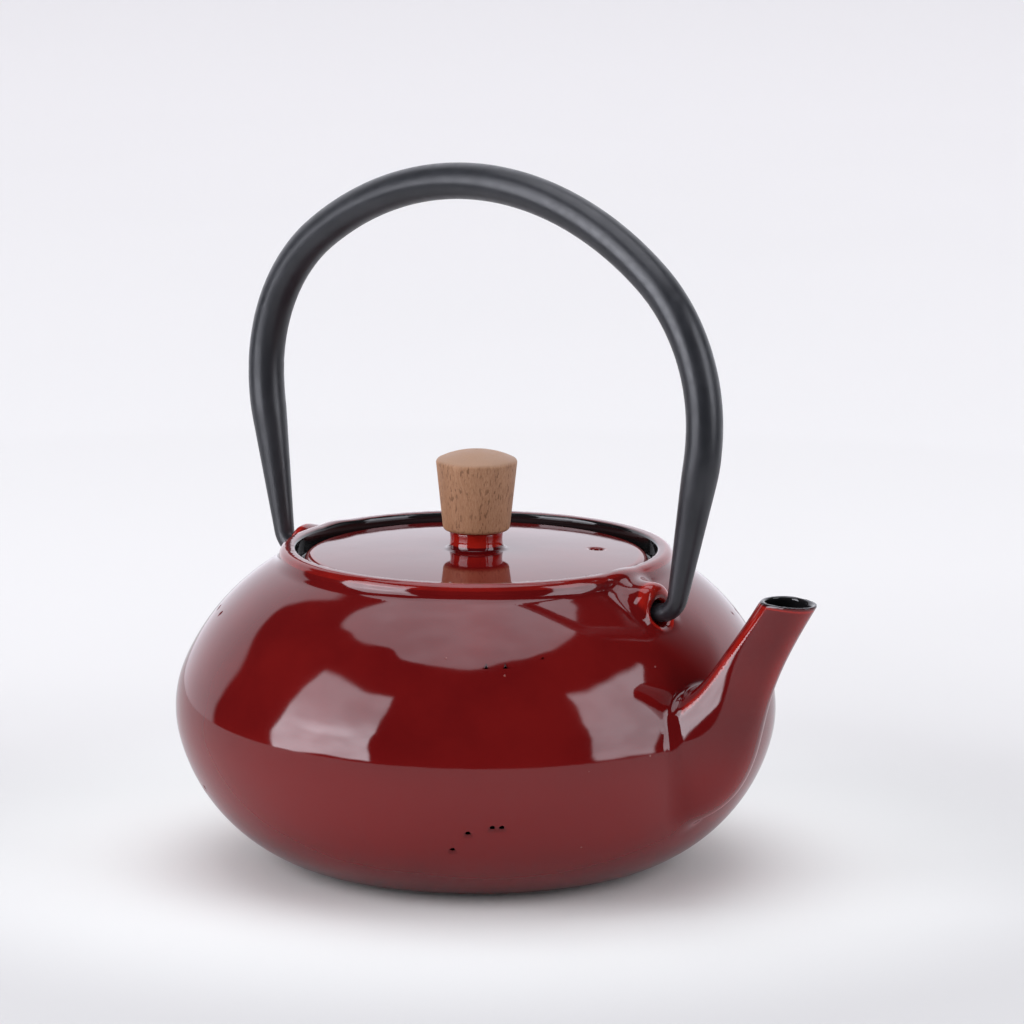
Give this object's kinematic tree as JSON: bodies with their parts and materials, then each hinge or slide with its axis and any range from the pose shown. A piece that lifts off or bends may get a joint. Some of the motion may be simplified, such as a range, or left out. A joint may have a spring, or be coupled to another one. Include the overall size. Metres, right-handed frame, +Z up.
{
  "type": "cast iron kettle",
  "caption": "Low round enamelled iron kettle with a pouring spout, a bail handle that swings in two ears, a flat lid with a wooden knob, and a lift-out perforated infuser.",
  "frame": {"origin": "centre of the body's flat foot, on the surface the kettle stands on", "axes": "+Z up along the body's axis, +X towards the spout, +Y to the left of the spout seen from behind the kettle"},
  "size_m": [0.2008, 0.165, 0.1924],
  "materials": {
    "enamel": "glossy deep red vitreous enamel over cast iron",
    "knob_wood": "fine sanded, lightly oiled beech",
    "screw_steel": "turned stainless steel",
    "bail_black": "satin black paint over a round steel bar",
    "infuser_steel": "pressed stainless sheet"
  },
  "bodies": {
    "kettle": {"kettle_body": "enamel"},
    "bail": {"bail_handle": "bail_black"},
    "infuser": {"infuser_rim": "infuser_steel", "infuser_wall": "infuser_steel", "infuser_base": "infuser_steel"},
    "lid": {"lid": "enamel", "lid_knob": "knob_wood", "knob_screw": "screw_steel", "knob_washer": "screw_steel"}
  },
  "joints": [
    {"name": "bail_swing", "type": "hinge", "parent": "kettle", "child": "bail", "pos_m": [0, 0, 0.0774], "axis": [1, 0, 0], "range_deg": [-111, 113.8]},
    {"name": "infuser_lift", "type": "slide", "parent": "kettle", "child": "infuser", "axis": [0, 0, 1], "range_m": [0, 0.06]},
    {"name": "lid_lift", "type": "slide", "parent": "infuser", "child": "lid", "axis": [0, 0, 1], "range_m": [0, 0.06]}
  ]
}
